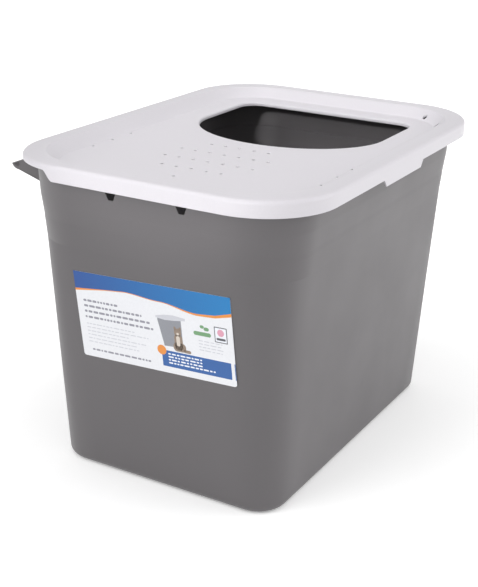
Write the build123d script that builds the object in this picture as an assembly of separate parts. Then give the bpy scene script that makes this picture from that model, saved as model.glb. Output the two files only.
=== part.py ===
from build123d import *
import os

# Top-entry cat litter pan: a tapered tub with a hinged lid that has a D-shaped way in.
# Millimetres. X runs across the label end, Y along the long side, Z up.
# The origin is the middle of the underside of the tub, and the label faces -Y.

# ---- driving dimensions -------------------------------------------------------------

# Tub
TUB_HEIGHT = 370.2
TUB_WALL = 2.5
TUB_FLOOR = 3.0
FOOT_ROUND = 10.0            # rounded edge between the walls and the underside
FOOT_WIDTH = 291.0           # across X, just above the rounded edge
FOOT_DEPTH = 426.0           # across Y, just above the rounded edge
FOOT_CORNER = 37.0
BROW_Z = 354.8               # level of the lower edge of the lid's skirt
BROW_WIDTH = 338.0
BROW_DEPTH = 494.0
BROW_CORNER = 72.0
LEDGES = [(290.0, 0.8), (318.0, 1.6)]    # height and step-out of each nesting ledge
RIM_BEAD_OUT = 4.0
RIM_BEAD_HEIGHT = 6.0
RIM_ROUND = 1.2

# Vent slots in the label end, close under the lid
SLOT_X = [-36.0, 51.0]
SLOT_FOOT_Z = 343.2
SLOT_TOP_Z = 360.0
SLOT_FOOT_WIDTH = 6.5
SLOT_BROW_WIDTH = 16.5       # width at BROW_Z
SLOT_ROUND = 1.6

# Lid
LID_WIDTH = 376.0
LID_DEPTH = 513.0
LID_CORNER = 85.0
LID_TOP = 373.0
LID_WALL = 2.5
LID_EDGE_ROUND = 5.0
BORDER = 21.0                # flat border round the sunken floor
SLOPE_RUN = 16.0             # plan width of the slope down to the sunken floor
SUNKEN_Z = 360.5             # top of the sunken floor
TRAY_TOP_CORNER = 76.0
TRAY_FOOT_CORNER = 55.0
TRAY_SIDE_WALL = 0.8         # sideways step that gives the slope the lid's wall
HINGE_SKIRT_Z = 366.0        # lower edge of the shallower skirt round the hinge side
SKIRT_STEP_X = -104.5        # where the skirt starts to rise towards the hinge side
SKIRT_STEP_RUN = 13.3        # plan width of that rise
SKIRT_ZONE = 10.0            # plan width round the lid that holds only the skirt

# Way in through the lid
ENTRY_HALF_WIDTH = 121.0
ENTRY_BACK_Y = 191.5
ENTRY_BACK_CORNER = 24.0
ENTRY_NOSE_CENTRE_Y = 87.0
ENTRY_NOSE_REACH = 98.0
ENTRY_LIP_ROUND = 2.2
COLLAR_WALL = 2.5
COLLAR_DEPTH = 5.0           # from the sunken floor's top to the collar's lower edge

# Litter-shaking perforations: a grid of holes kept inside an oval
PERF_RADIUS = 2.2
PERF_PITCH_X = 19.0
PERF_COLUMNS = 7
PERF_PITCH_Y = 35.0
PERF_ROWS = 5
PERF_FIRST_Y = -42.0
PERF_OVAL_Y = -104.0
PERF_OVAL_HALF_WIDTH = 62.0
PERF_OVAL_HALF_DEPTH = 80.0

# Drain holes near the foot of the slope, and a pair in the slope of one rear corner
DRAIN_RADIUS = 2.0
DRAIN_X = 147.0
DRAIN_Y = [-126.0, -88.5, -51.0]
CORNER_HOLE_RADIUS = 2.8
CORNER_HOLE_REACH = 60.0     # from the centre of the slope's foot corner
CORNER_HOLE_ANGLES = [20.0, 63.0]

# Pull tab on the skirt
TAB_TOP_WIDTH = 109.0
TAB_FOOT_WIDTH = 96.0
TAB_DROP = 8.2

# Hinge along the -X side
HINGE_X = -205.3
HINGE_Z = 348.6
HINGE_BEAD_RADIUS = 7.3
HINGE_CLEARANCE = 0.3
TROUGH_WALL = 3.0
TROUGH_LIP_Z = 344.6
SHELF_TOP = 350.5
SHELF_THICK = 3.0
RAIL_HALF_LENGTH = 190.0
END_PLATE_PROUD = 7.0
END_PLATE_RISE_OUT = 4.4     # how much higher the end plates' lower edge is, at the trough
END_PLATE_RISE_IN = 9.8      # and at the tub
GUSSET_THICK = 3.0
GUSSET_COUNT = 7
GUSSET_FOOT_Z = 321.5        # level that the gussets' lower edge reaches inside the tub's wall
KNUCKLE_LENGTH = 70.0
KNUCKLE_Y = [-95.0, 95.0]
ARM_UNDERSIDE_Z = 352.0
ARM_ROOT_THICK = 7.0

# Label
LABEL_WIDTH = 200.0
LABEL_HEIGHT = 103.0
LABEL_THICK = 0.35
LABEL_CORNER = 3.0
LABEL_TURN = 2.9             # degrees, as it was stuck on
LABEL_X = 6.0
LABEL_Z = 205.0

# ---- helpers ------------------------------------------------------------------------

OVERCUT = 5.0                # how far cutters run past what they cut
NEAR = 0.01                  # how close two levels are to count as the same
REACH = 40.0                 # long enough to pass right over a hinge section


def rounded(width, depth, corner, z):
    """A rounded rectangle centred on the Z axis at height z."""
    return Pos(0, 0, z) * RectangleRounded(width, depth, corner)


def side_plane(y):
    """A plane facing -Y at the given y, with its own x along X and its own y along Z."""
    return Plane(origin=(0, y, 0), x_dir=(1, 0, 0), z_dir=(0, -1, 0))


def prism_y(face, y_low, y_high):
    """Extrude a face drawn in X and Z from y_low to y_high."""
    return extrude(side_plane(y_high) * face, amount=y_high - y_low)


def tub_section(z, grow, above_ledges):
    """Rounded rectangle of the tub's outside at height z, grown sideways by grow."""
    run = (z - FOOT_ROUND) / (BROW_Z - FOOT_ROUND)
    all_steps = sum(step for _, step in LEDGES)
    taper_x = (BROW_WIDTH - FOOT_WIDTH) / 2 - all_steps
    taper_y = (BROW_DEPTH - FOOT_DEPTH) / 2 - all_steps
    out = above_ledges + grow
    width = FOOT_WIDTH + 2 * (taper_x * run + out)
    depth = FOOT_DEPTH + 2 * (taper_y * run + out)
    corner = FOOT_CORNER + (BROW_CORNER - FOOT_CORNER) * run + grow
    return rounded(width, depth, corner, z)


def tub_block(grow, foot_z, foot_round, top_z):
    """Solid inside the tub's outline, from foot_z to top_z."""
    levels = [foot_z] + [z for z, _ in LEDGES] + [top_z]
    block = None
    for index in range(len(levels) - 1):
        out = sum(step for _, step in LEDGES[:index])
        low = tub_section(levels[index], grow, out)
        high = tub_section(levels[index + 1], grow, out)
        zone = loft([low, high], ruled=True)
        if index == 0:
            zone = fillet(zone.faces().sort_by(Axis.Z)[0].edges(), foot_round)
        block = zone if block is None else block + zone
    return block


# ---- tub ----------------------------------------------------------------------------

def make_tub_outside(grow=0.0):
    """Solid inside the tub's outer skin, without the rim bead."""
    return tub_block(grow, 0.0, FOOT_ROUND, TUB_HEIGHT)


def slot_cutter(centre_x):
    """Tapered vent slot, narrow at its foot."""
    rise = (SLOT_BROW_WIDTH - SLOT_FOOT_WIDTH) / 2 / (BROW_Z - SLOT_FOOT_Z)
    half_top = SLOT_FOOT_WIDTH / 2 + rise * (SLOT_TOP_Z - SLOT_FOOT_Z)
    half_foot = SLOT_FOOT_WIDTH / 2
    outline = Polygon(
        (centre_x - half_foot, SLOT_FOOT_Z),
        (centre_x + half_foot, SLOT_FOOT_Z),
        (centre_x + half_top, SLOT_TOP_Z),
        (centre_x - half_top, SLOT_TOP_Z),
        align=None,
    )
    outline = fillet(outline.vertices(), SLOT_ROUND)
    return prism_y(outline, -BROW_DEPTH, -BROW_DEPTH / 2 + BROW_CORNER / 2)


def make_tub():
    """Open tub with its ledges, rim bead and vent slots."""
    all_steps = sum(step for _, step in LEDGES)
    bead_foot = TUB_HEIGHT - RIM_BEAD_HEIGHT
    bead = loft(
        [
            tub_section(bead_foot, RIM_BEAD_OUT, all_steps),
            tub_section(TUB_HEIGHT, RIM_BEAD_OUT, all_steps),
        ],
        ruled=True,
    )
    inside = tub_block(-TUB_WALL, TUB_FLOOR, FOOT_ROUND - TUB_WALL, TUB_HEIGHT + OVERCUT)
    tub = make_tub_outside() + bead - inside
    tub = fillet(tub.faces().sort_by(Axis.Z)[-1].edges(), RIM_ROUND)
    for centre_x in SLOT_X:
        tub = tub - slot_cutter(centre_x)
    return tub


# ---- hinge rail on the tub ----------------------------------------------------------

TROUGH_RADIUS = HINGE_BEAD_RADIUS + HINGE_CLEARANCE
RAIL_TIP_X = HINGE_X - TROUGH_RADIUS - TROUGH_WALL
TROUGH_FOOT_Z = HINGE_Z - TROUGH_RADIUS - TROUGH_WALL
INSIDE_TUB_X = -BROW_WIDTH / 2 + 8 * TUB_WALL    # well inside the tub's wall


def groove():
    """Space swept by the hinge bead, open upwards."""
    open_top = Pos(HINGE_X, HINGE_Z + REACH / 2) * Rectangle(2 * TROUGH_RADIUS, REACH)
    return Pos(HINGE_X, HINGE_Z) * Circle(TROUGH_RADIUS) + open_top


def trough_profile():
    """Channel round the groove: low on the outer side, up to the shelf on the inner side."""
    ring = Pos(HINGE_X, HINGE_Z) * Circle(TROUGH_RADIUS + TROUGH_WALL)
    below_lip = Pos(HINGE_X, TROUGH_LIP_Z - REACH / 2) * Rectangle(REACH, REACH)
    inner_half = Pos(HINGE_X + REACH / 4, SHELF_TOP - REACH / 2) * Rectangle(REACH / 2, REACH)
    return (ring & (below_lip + inner_half)) - groove()


def shelf_profile():
    """Flat web from the trough to the tub."""
    left = HINGE_X + TROUGH_RADIUS
    length = INSIDE_TUB_X - left
    centre = Pos(left + length / 2, SHELF_TOP - SHELF_THICK / 2)
    return centre * Rectangle(length, SHELF_THICK)


def gusset_profile(rise_out=0.0, rise_in=0.0):
    """Web between the trough, the shelf and the tub, with a sloping lower edge."""
    web = Polygon(
        (INSIDE_TUB_X, SHELF_TOP),
        (HINGE_X + TROUGH_RADIUS, SHELF_TOP),
        (HINGE_X, TROUGH_FOOT_Z + rise_out),
        (INSIDE_TUB_X, GUSSET_FOOT_Z + rise_in),
        align=None,
    )
    return web - groove()


def make_hinge_rail(tub_outside):
    """Open channel on a shelf, stiffened by gussets and closed by proud end plates."""
    length = RAIL_HALF_LENGTH
    rail = prism_y(trough_profile() + shelf_profile(), -length, length)
    pitch = (2 * length - GUSSET_THICK) / (GUSSET_COUNT - 1)
    for index in range(GUSSET_COUNT):
        low = -length + pitch * index
        rail = rail + prism_y(gusset_profile(), low, low + GUSSET_THICK)
    plate = gusset_profile(END_PLATE_RISE_OUT, END_PLATE_RISE_IN)
    proud = length + END_PLATE_PROUD
    rail = rail + prism_y(plate, -proud, -length) + prism_y(plate, length, proud)
    return rail - tub_outside


# ---- lid ----------------------------------------------------------------------------

def entry_outline(grow=0.0):
    """D-shaped way in: a half-ellipse nose towards the label end, a square back."""
    half = ENTRY_HALF_WIDTH + grow
    back = ENTRY_BACK_Y + grow
    depth = back - ENTRY_NOSE_CENTRE_Y
    nose = Pos(0, ENTRY_NOSE_CENTRE_Y) * Ellipse(half, ENTRY_NOSE_REACH + grow)
    body = Pos(0, back - depth / 2) * Rectangle(2 * half, depth)
    upper = body.vertices().sort_by(Axis.Y)[-2:]
    body = fillet(upper, ENTRY_BACK_CORNER + grow)
    lower = Pos(0, ENTRY_NOSE_CENTRE_Y - LID_DEPTH / 2) * Rectangle(LID_WIDTH, LID_DEPTH)
    return body + (nose & lower)


def tray_block(grow, top_z, foot_z):
    """Solid that fills the sunken floor, grown sideways by grow."""
    in_top = 2 * (BORDER - grow)
    in_foot = 2 * (BORDER + SLOPE_RUN - grow)
    top = rounded(LID_WIDTH - in_top, LID_DEPTH - in_top, TRAY_TOP_CORNER + grow, top_z)
    foot = rounded(LID_WIDTH - in_foot, LID_DEPTH - in_foot, TRAY_FOOT_CORNER + grow, foot_z)
    return loft([foot, top], ruled=True)


def perforation_places():
    """Centres of the perforations, on a grid kept inside an oval."""
    places = []
    for row in range(PERF_ROWS):
        for column in range(PERF_COLUMNS):
            x = (column - (PERF_COLUMNS - 1) / 2) * PERF_PITCH_X
            y = PERF_FIRST_Y - row * PERF_PITCH_Y
            across = x / PERF_OVAL_HALF_WIDTH
            along = (y - PERF_OVAL_Y) / PERF_OVAL_HALF_DEPTH
            if across**2 + along**2 <= 1:
                places.append((x, y))
    return places


def drain_places():
    """Centres of the drain holes beside the slope, the same on both sides."""
    return [(side * DRAIN_X, y) for side in (-1, 1) for y in DRAIN_Y]


def corner_hole_places():
    """Centres of the holes in the slope of the rear corner on the pull tab's side."""
    inset = BORDER + SLOPE_RUN + TRAY_FOOT_CORNER
    centre = Vector(LID_WIDTH / 2 - inset, LID_DEPTH / 2 - inset)
    reach = Vector(CORNER_HOLE_REACH, 0)
    places = [centre + reach.rotate(Axis.Z, angle) for angle in CORNER_HOLE_ANGLES]
    return [(place.X, place.Y) for place in places]


def hinge_side_cutter():
    """Space under the shallower skirt round the hinge side."""
    outline = Polygon(
        (-LID_WIDTH, BROW_Z - OVERCUT),
        (SKIRT_STEP_X, BROW_Z - OVERCUT),
        (SKIRT_STEP_X, BROW_Z),
        (SKIRT_STEP_X - SKIRT_STEP_RUN, HINGE_SKIRT_Z),
        (-LID_WIDTH, HINGE_SKIRT_Z),
        align=None,
    )
    return prism_y(outline, -LID_DEPTH, LID_DEPTH)


def on_entry_mouth(edge):
    """True for the edges round the way in, at the top of the sunken floor."""
    box = edge.bounding_box()
    level = max(abs(box.min.Z - SUNKEN_Z), abs(box.max.Z - SUNKEN_Z)) < NEAR
    reach = max(abs(box.min.X), abs(box.max.X))
    return level and reach < ENTRY_HALF_WIDTH + COLLAR_WALL and box.max.Y < ENTRY_BACK_Y + COLLAR_WALL


def lid_zone(inset, corner, low_z, high_z):
    """Solid inside the lid's outline moved in by inset, between two levels."""
    outline = rounded(LID_WIDTH - 2 * inset, LID_DEPTH - 2 * inset, corner, low_z)
    return extrude(outline, high_z - low_z)


def make_lid_moulding():
    """Lid shell with its sunken floor, bored for the way in, the perforations and the drains."""
    skirt_height = LID_TOP - BROW_Z
    bore_length = 8 * LID_WALL
    outside = extrude(rounded(LID_WIDTH, LID_DEPTH, LID_CORNER, BROW_Z), skirt_height)
    outside = fillet(outside.faces().sort_by(Axis.Z)[-1].edges(), LID_EDGE_ROUND)
    inside = extrude(
        rounded(LID_WIDTH - 2 * LID_WALL, LID_DEPTH - 2 * LID_WALL, LID_CORNER - LID_WALL, BROW_Z),
        skirt_height - LID_WALL,
    )
    inside = fillet(inside.faces().sort_by(Axis.Z)[-1].edges(), LID_EDGE_ROUND - LID_WALL)
    tray_outside = tray_block(TRAY_SIDE_WALL, LID_TOP - LID_WALL / 2, SUNKEN_Z - LID_WALL)
    panel = (outside - inside - hinge_side_cutter()) + tray_outside
    panel = panel - tray_block(0.0, LID_TOP, SUNKEN_Z)
    panel = panel - extrude(Pos(0, 0, SUNKEN_Z - OVERCUT) * entry_outline(), 2 * OVERCUT)
    mouth = [e for e in panel.edges() if on_entry_mouth(e)]
    panel = fillet(mouth, ENTRY_LIP_ROUND)
    bores = [(place, PERF_RADIUS) for place in perforation_places()]
    bores += [(place, DRAIN_RADIUS) for place in drain_places()]
    bores += [(place, CORNER_HOLE_RADIUS) for place in corner_hole_places()]
    for (x, y), radius in bores:
        panel = panel - Pos(x, y, SUNKEN_Z) * Cylinder(radius, bore_length)
    return panel


def make_lid_nodes():
    """The lid moulding as its upright skirt, its border with the slope, and its sunken floor."""
    moulding = make_lid_moulding()
    low_z = BROW_Z - OVERCUT
    skirt_top_z = LID_TOP - LID_EDGE_ROUND
    floor_zone = lid_zone(BORDER + SLOPE_RUN, TRAY_FOOT_CORNER, low_z, LID_TOP)
    skirt_zone = lid_zone(-OVERCUT, LID_CORNER + OVERCUT, low_z, skirt_top_z)
    skirt_zone = skirt_zone - lid_zone(SKIRT_ZONE, LID_CORNER - SKIRT_ZONE, low_z, skirt_top_z)
    return {
        "lid_skirt": moulding & skirt_zone,
        "lid_border": moulding - skirt_zone - floor_zone,
        "lid_floor": moulding & floor_zone,
    }


def make_entry_collar():
    """Wall that hangs from the sunken floor round the way in."""
    ring = Pos(0, 0, SUNKEN_Z - COLLAR_DEPTH) * (entry_outline(COLLAR_WALL) - entry_outline())
    return extrude(ring, COLLAR_DEPTH - LID_WALL)


def make_pull_tab():
    """Deeper stretch of the skirt to lift the lid by."""
    outline = Polygon(
        (-TAB_TOP_WIDTH / 2, BROW_Z),
        (-TAB_FOOT_WIDTH / 2, BROW_Z - TAB_DROP),
        (TAB_FOOT_WIDTH / 2, BROW_Z - TAB_DROP),
        (TAB_TOP_WIDTH / 2, BROW_Z),
        align=None,
    )
    face_on = Plane(origin=(LID_WIDTH / 2, 0, 0), x_dir=(0, 1, 0), z_dir=(1, 0, 0))
    return extrude(face_on * outline, -LID_WALL)


def make_hinge_knuckle(centre_y):
    """Bead that turns in the trough, on an arm from under the lid's border."""
    skirt_x = -LID_WIDTH / 2
    inside_x = skirt_x + LID_WALL
    root_x = inside_x + ARM_ROOT_THICK
    underside_z = LID_TOP - LID_WALL
    inner_round = LID_EDGE_ROUND - LID_WALL
    bead = Pos(HINGE_X, HINGE_Z) * Circle(HINGE_BEAD_RADIUS)
    arm = Polygon(
        (HINGE_X, HINGE_Z),
        (HINGE_X + TROUGH_RADIUS, ARM_UNDERSIDE_Z),
        (root_x, ARM_UNDERSIDE_Z),
        (root_x, underside_z),
        (inside_x + inner_round, underside_z),
        (inside_x, underside_z - inner_round),
        (inside_x, HINGE_SKIRT_Z),
        (skirt_x, HINGE_SKIRT_Z),
        (HINGE_X, HINGE_Z + HINGE_BEAD_RADIUS),
        align=None,
    )
    half = KNUCKLE_LENGTH / 2
    return prism_y(bead + arm, centre_y - half, centre_y + half)


# ---- label --------------------------------------------------------------------------

def make_label(tub_outside):
    """Thin film that follows the label end of the tub."""
    outline = RectangleRounded(LABEL_WIDTH, LABEL_HEIGHT, LABEL_CORNER)
    turned = Pos(LABEL_X, LABEL_Z) * Rot(0, 0, LABEL_TURN) * outline
    reach = prism_y(turned, -BROW_DEPTH, 0.0)
    return (make_tub_outside(LABEL_THICK) & reach) - tub_outside


def main():
    tub_outside = make_tub_outside()
    nodes = {
        "tub": make_tub(),
        "hinge_rail": make_hinge_rail(tub_outside),
        **make_lid_nodes(),
        "entry_collar": make_entry_collar(),
        "pull_tab": make_pull_tab(),
        "hinge_knuckle_front": make_hinge_knuckle(KNUCKLE_Y[0]),
        "hinge_knuckle_rear": make_hinge_knuckle(KNUCKLE_Y[1]),
        "front_label": make_label(tub_outside),
    }
    os.makedirs("parts", exist_ok=True)
    for name, shape in nodes.items():
        export_step(shape, f"parts/{name}.step")


if __name__ == "__main__":
    main()
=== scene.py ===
import math
import random

import bpy
import numpy as np
from bpy.props import FloatProperty, FloatVectorProperty, IntProperty, PointerProperty
from mathutils import Matrix, Vector


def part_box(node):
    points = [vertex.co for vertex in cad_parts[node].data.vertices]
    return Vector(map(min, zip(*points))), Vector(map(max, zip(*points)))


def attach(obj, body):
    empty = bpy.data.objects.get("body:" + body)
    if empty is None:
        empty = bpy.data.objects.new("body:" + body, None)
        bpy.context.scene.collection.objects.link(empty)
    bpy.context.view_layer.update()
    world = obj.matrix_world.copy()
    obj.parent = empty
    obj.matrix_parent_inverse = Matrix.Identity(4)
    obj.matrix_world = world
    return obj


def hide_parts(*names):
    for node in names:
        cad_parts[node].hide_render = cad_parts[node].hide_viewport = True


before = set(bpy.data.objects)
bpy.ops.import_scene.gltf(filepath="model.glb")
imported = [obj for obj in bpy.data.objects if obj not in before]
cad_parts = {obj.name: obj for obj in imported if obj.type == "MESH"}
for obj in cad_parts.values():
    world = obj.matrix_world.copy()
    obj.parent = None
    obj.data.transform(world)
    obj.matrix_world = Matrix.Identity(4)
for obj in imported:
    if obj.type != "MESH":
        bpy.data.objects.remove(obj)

bl_info = {
    "name": "Top-entry Litter Pan",
    "version": (1, 0, 0),
    "blender": (4, 5, 0),
    "location": "View3D > Sidebar > Litter Pan",
    "description": "Builds a tapered litter tub with a hinged, perforated lid around its fixed frame",
    "category": "Object",
}

MM = 0.001

# The fixed frame gives the sizes that the mouldings share.
TUB_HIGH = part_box("tub")[1]
LID_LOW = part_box("lid_skirt")[0]
LID_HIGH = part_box("lid_border")[1]
COLLAR_LOW, COLLAR_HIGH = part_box("entry_collar")
TAB_LOW, TAB_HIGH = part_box("pull_tab")
LABEL_LOW, LABEL_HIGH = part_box("front_label")
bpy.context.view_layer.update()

ROUND_STEPS = 6              # segments in each rounded edge
OUTLINE_POINTS = 288         # points round each moulding
HALVINGS = 44                # halvings of a ray that is traced to an outline


# ---- settings -----------------------------------------------------------------------

def length(name, description, default):
    return FloatProperty(name=name, description=description, default=default, unit="LENGTH", precision=4)


def angle(name, description, degrees):
    return FloatProperty(name=name, description=description, default=math.radians(degrees), unit="ROTATION")


def number(name, description, default):
    return FloatProperty(name=name, description=description, default=default, unit="NONE")


def colour(name, description, default):
    return FloatVectorProperty(
        name=name, description=description, default=default[:3], size=3, subtype="COLOR", min=0, max=1
    )


def linear(hex_colour):
    """Linear RGBA of an sRGB hex colour such as "#7a7677"."""
    channels = [int(hex_colour[i:i + 2], 16) / 255 for i in (1, 3, 5)]
    return [c / 12.92 if c <= 0.04045 else ((c + 0.055) / 1.055) ** 2.4 for c in channels] + [1.0]


class TubSizes(bpy.types.PropertyGroup):
    wall: length("Wall", "Thickness of the tub's wall", 2.5 * MM)
    floor: length("Floor", "Thickness of the tub's floor", 3.0 * MM)
    foot_round: length("Foot round", "Radius between the walls and the underside", 10 * MM)
    foot_width: length("Foot width", "Width above the rounded foot", 291 * MM)
    foot_depth: length("Foot depth", "Depth above the rounded foot", 426 * MM)
    foot_corner: length("Foot corner", "Corner radius above the rounded foot", 37 * MM)
    brow_width: length("Brow width", "Width under the lid", 338 * MM)
    brow_depth: length("Brow depth", "Depth under the lid", 494 * MM)
    brow_corner: length("Brow corner", "Corner radius under the lid", 72 * MM)
    ledge_low: length("Lower ledge", "Height of the lower nesting ledge", 290 * MM)
    ledge_low_out: length("Lower ledge step", "Step out at the lower ledge", 0.8 * MM)
    ledge_high: length("Upper ledge", "Height of the upper nesting ledge", 318 * MM)
    ledge_high_out: length("Upper ledge step", "Step out at the upper ledge", 1.6 * MM)
    ledge_ease: length("Ledge ease", "How gently the ledges blend into the outside", 11 * MM)
    bead_out: length("Bead", "How far the rim bead stands out", 4 * MM)
    bead_height: length("Bead height", "Height of the rim bead", 6 * MM)
    slot_left: length("Left slot", "Centre of the left vent slot", -36 * MM)
    slot_right: length("Right slot", "Centre of the right vent slot", 51 * MM)
    slot_foot: length("Slot foot", "Height of the lower end of the vent slots", 343.2 * MM)
    slot_top: length("Slot top", "Height of the upper end of the vent slots", 360 * MM)
    slot_foot_width: length("Slot foot width", "Width of a slot at its lower end", 6.5 * MM)
    slot_flare: number("Slot flare", "Widening of a slot with height", 0.862)


class LidSizes(bpy.types.PropertyGroup):
    wall: length("Wall", "Thickness of the lid", 2.5 * MM)
    corner: length("Corner", "Corner radius of the lid", 85 * MM)
    edge_round: length("Edge round", "Radius of the lid's top edge", 5 * MM)
    border: length("Border", "Width of the raised border", 21 * MM)
    slope: length("Slope", "Plan width of the slope to the sunken floor", 16 * MM)
    sunken: length("Sunken floor", "Height of the top of the sunken floor", 360.5 * MM)
    tray_corner: length("Tray corner", "Corner radius at the top of the slope", 76 * MM)
    floor_corner: length("Floor corner", "Corner radius at the foot of the slope", 55 * MM)
    slope_wall: length("Slope wall", "Sideways step of the slope's underside", 0.8 * MM)
    hinge_skirt: length("Hinge skirt", "Height of the skirt's lower edge round the hinge side", 366 * MM)
    skirt_step: length("Skirt step", "Where the skirt starts to rise towards the hinge side", -104.5 * MM)
    skirt_step_run: length("Skirt step run", "Plan width of the skirt's rise", 13.3 * MM)
    entry_back_corner: length("Entry corner", "Corner radius at the back of the way in", 24 * MM)
    entry_nose: length("Entry nose", "Reach of the half-ellipse nose of the way in", 98 * MM)
    entry_lip: length("Entry lip", "Radius of the lip round the way in", 2.6 * MM)
    tab_foot: length("Tab foot", "Width of the pull tab's lower edge", 96 * MM)
    hole_radius: length("Hole radius", "Radius of a perforation", 2.2 * MM)
    pitch_x: length("Column pitch", "Spacing of the perforations across the lid", 19 * MM)
    pitch_y: length("Row pitch", "Spacing of the perforations along the lid", 35 * MM)
    columns: IntProperty(name="Columns", description="Perforations in each row", default=7)
    rows: IntProperty(name="Rows", description="Rows of perforations", default=5)
    first_row: length("First row", "Place of the row nearest the way in", -42 * MM)
    oval_y: length("Oval centre", "Centre of the oval that bounds the perforations", -104 * MM)
    oval_width: length("Oval width", "Half width of that oval", 62 * MM)
    oval_depth: length("Oval depth", "Half depth of that oval", 80 * MM)
    drain_radius: length("Drain radius", "Radius of a drain hole", 2 * MM)
    drain_x: length("Drain side", "Distance of the drain holes from the lid's middle line", 147 * MM)
    drain_y: length("Drain middle", "Place of the middle drain hole on each side", -88.5 * MM)
    drain_pitch: length("Drain pitch", "Spacing of the drain holes", 37.5 * MM)
    drains: IntProperty(name="Drains", description="Drain holes on each side", default=3)
    corner_radius: length("Corner hole radius", "Radius of the holes in the rear corner's slope", 2.8 * MM)
    corner_reach: length("Corner hole reach", "From the corner's centre to its holes", 60 * MM)
    corner_start: angle("Corner start", "Direction of the first corner hole", 20)
    corner_sweep: angle("Corner sweep", "Turn from the first corner hole to the second", 43)


class LabelSizes(bpy.types.PropertyGroup):
    width: length("Width", "Width of the label", 200 * MM)
    height: length("Height", "Height of the label", 103 * MM)
    corner: length("Corner", "Corner radius of the label", 3 * MM)
    film: length("Film", "Thickness of the label", 0.3 * MM)
    ink: length("Ink", "Thickness of the printed layer", 0.04 * MM)
    turn: angle("Turn", "How far the label is askew", 2.9)
    centre_x: length("Centre X", "Place of the label across the tub", 6 * MM)
    centre_z: length("Centre Z", "Height of the label's centre", 205 * MM)


class PanColours(bpy.types.PropertyGroup):
    tub: colour("Tub", "Grey polypropylene of the tub", linear("#5e5b5d"))
    lid: colour("Lid", "Pearl white polypropylene of the lid", linear("#c9c6cb"))
    film: colour("Label film", "White of the label", linear("#e2e3e7"))
    band_left: colour("Band left", "Blue at the left of the label's band", linear("#174a92"))
    band_right: colour("Band right", "Blue at the right of the label's band", linear("#0078b8"))
    panel: colour("Panel", "Blue of the label's panel", linear("#2a5c9e"))
    orange: colour("Orange", "Orange of the label's line and disc", linear("#e08c3c"))
    print_grey: colour("Print grey", "Grey of the label's small print", linear("#8e8e98"))


class StageSettings(bpy.types.PropertyGroup):
    target_x: length("Target X", "Point the camera looks at, across the pan", -6.8 * MM)
    target_y: length("Target Y", "Point the camera looks at, along the pan", -25.8 * MM)
    target_z: length("Target Z", "Point the camera looks at, above the floor", 174.4 * MM)
    azimuth: angle("Azimuth", "Camera's turn round the pan", 29.84)
    elevation: angle("Elevation", "Camera's height angle", 21.23)
    roll: angle("Roll", "Camera's roll", 1.09)
    distance: length("Distance", "Camera's distance from its target", 1.461)
    lens: number("Lens", "Focal length in millimetres", 73.16)
    room_light: number("Room light", "Strength of the even white light", 0.62)
    front_light: number("Front light", "Strength of the high soft light on the label end", 1.05)
    side_light: number("Side light", "Strength of the soft light on the long side", 1.15)
    top_light: number("Top light", "Strength of the soft light overhead", 0.5)
    inner_light: number("Inner light", "Watts of the spot aimed through the way in", 600.0)
    floor_glow: number("Floor glow", "Light given off by the floor paper", 0.22)


# ---- outlines and shells --------------------------------------------------------------

def inside_rounded(x, y, half_x, half_y, corner):
    """True where a point lies in a rounded rectangle centred on the origin."""
    beyond_x = np.maximum(np.abs(x) - (half_x - corner), 0)
    beyond_y = np.maximum(np.abs(y) - (half_y - corner), 0)
    return np.hypot(beyond_x, beyond_y) <= corner


def outline(inside, angles, centre_y=0.0):
    """Points where rays from (0, centre_y) leave a shape, one for each angle."""
    near = np.zeros_like(angles)
    far = np.full_like(angles, 1.0)
    for _ in range(HALVINGS):
        middle = (near + far) / 2
        within = inside(middle * np.cos(angles), centre_y + middle * np.sin(angles))
        near = np.where(within, middle, near)
        far = np.where(within, far, middle)
    return near * np.cos(angles), centre_y + near * np.sin(angles)


def rounded_path(corners):
    """A path through (across, height, radius) corners, each inner one rounded by an arc."""
    points = [Vector(c[:2]) for c in corners]
    path = [points[0]]
    for before, here, after, (_, _, radius) in zip(points, points[1:], points[2:], corners[1:]):
        back = (before - here).normalized()
        on = (after - here).normalized()
        half = back.angle(on) / 2
        reach = min(radius / math.tan(half), 0.49 * (before - here).length, 0.49 * (after - here).length)
        centre = here + (back + on).normalized() * (reach / math.cos(half))
        start, end = here + back * reach - centre, here + on * reach - centre
        sweep = start.angle(end)
        for step in range(ROUND_STEPS + 1):
            t = step / ROUND_STEPS
            mix = start * math.sin((1 - t) * sweep) + end * math.sin(t * sweep)
            path.append(centre + mix / math.sin(sweep))
    path.append(points[-1])
    return path


def shell(name, rings, ends="open"):
    """Mesh through a list of rings. ends is "fan" to close both ends, or "loop" to join them."""
    count = len(rings[0])
    vertices = [tuple(p) for ring in rings for p in ring]
    faces = []
    pairs = len(rings) if ends == "loop" else len(rings) - 1
    for i in range(pairs):
        low, high = i * count, ((i + 1) % len(rings)) * count
        for j in range(count):
            k = (j + 1) % count
            faces.append((low + j, low + k, high + k, high + j))
    if ends == "fan":
        last = (len(rings) - 1) * count
        for start, ring in ((0, rings[0]), (last, rings[-1])):
            hub = len(vertices)
            vertices.append(tuple(np.mean(ring, axis=0)))
            for j in range(count):
                k = (j + 1) % count
                side = (start + k, start + j) if start == 0 else (start + j, start + k)
                faces.append((*side, hub))
    return mesh_piece(name, vertices, faces)


def mesh_piece(name, vertices, faces):
    mesh = bpy.data.meshes.new(name)
    mesh.from_pydata(vertices, [], faces)
    mesh.update()
    piece = bpy.data.objects.new(name, mesh)
    bpy.context.scene.collection.objects.link(piece)
    return piece


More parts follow.
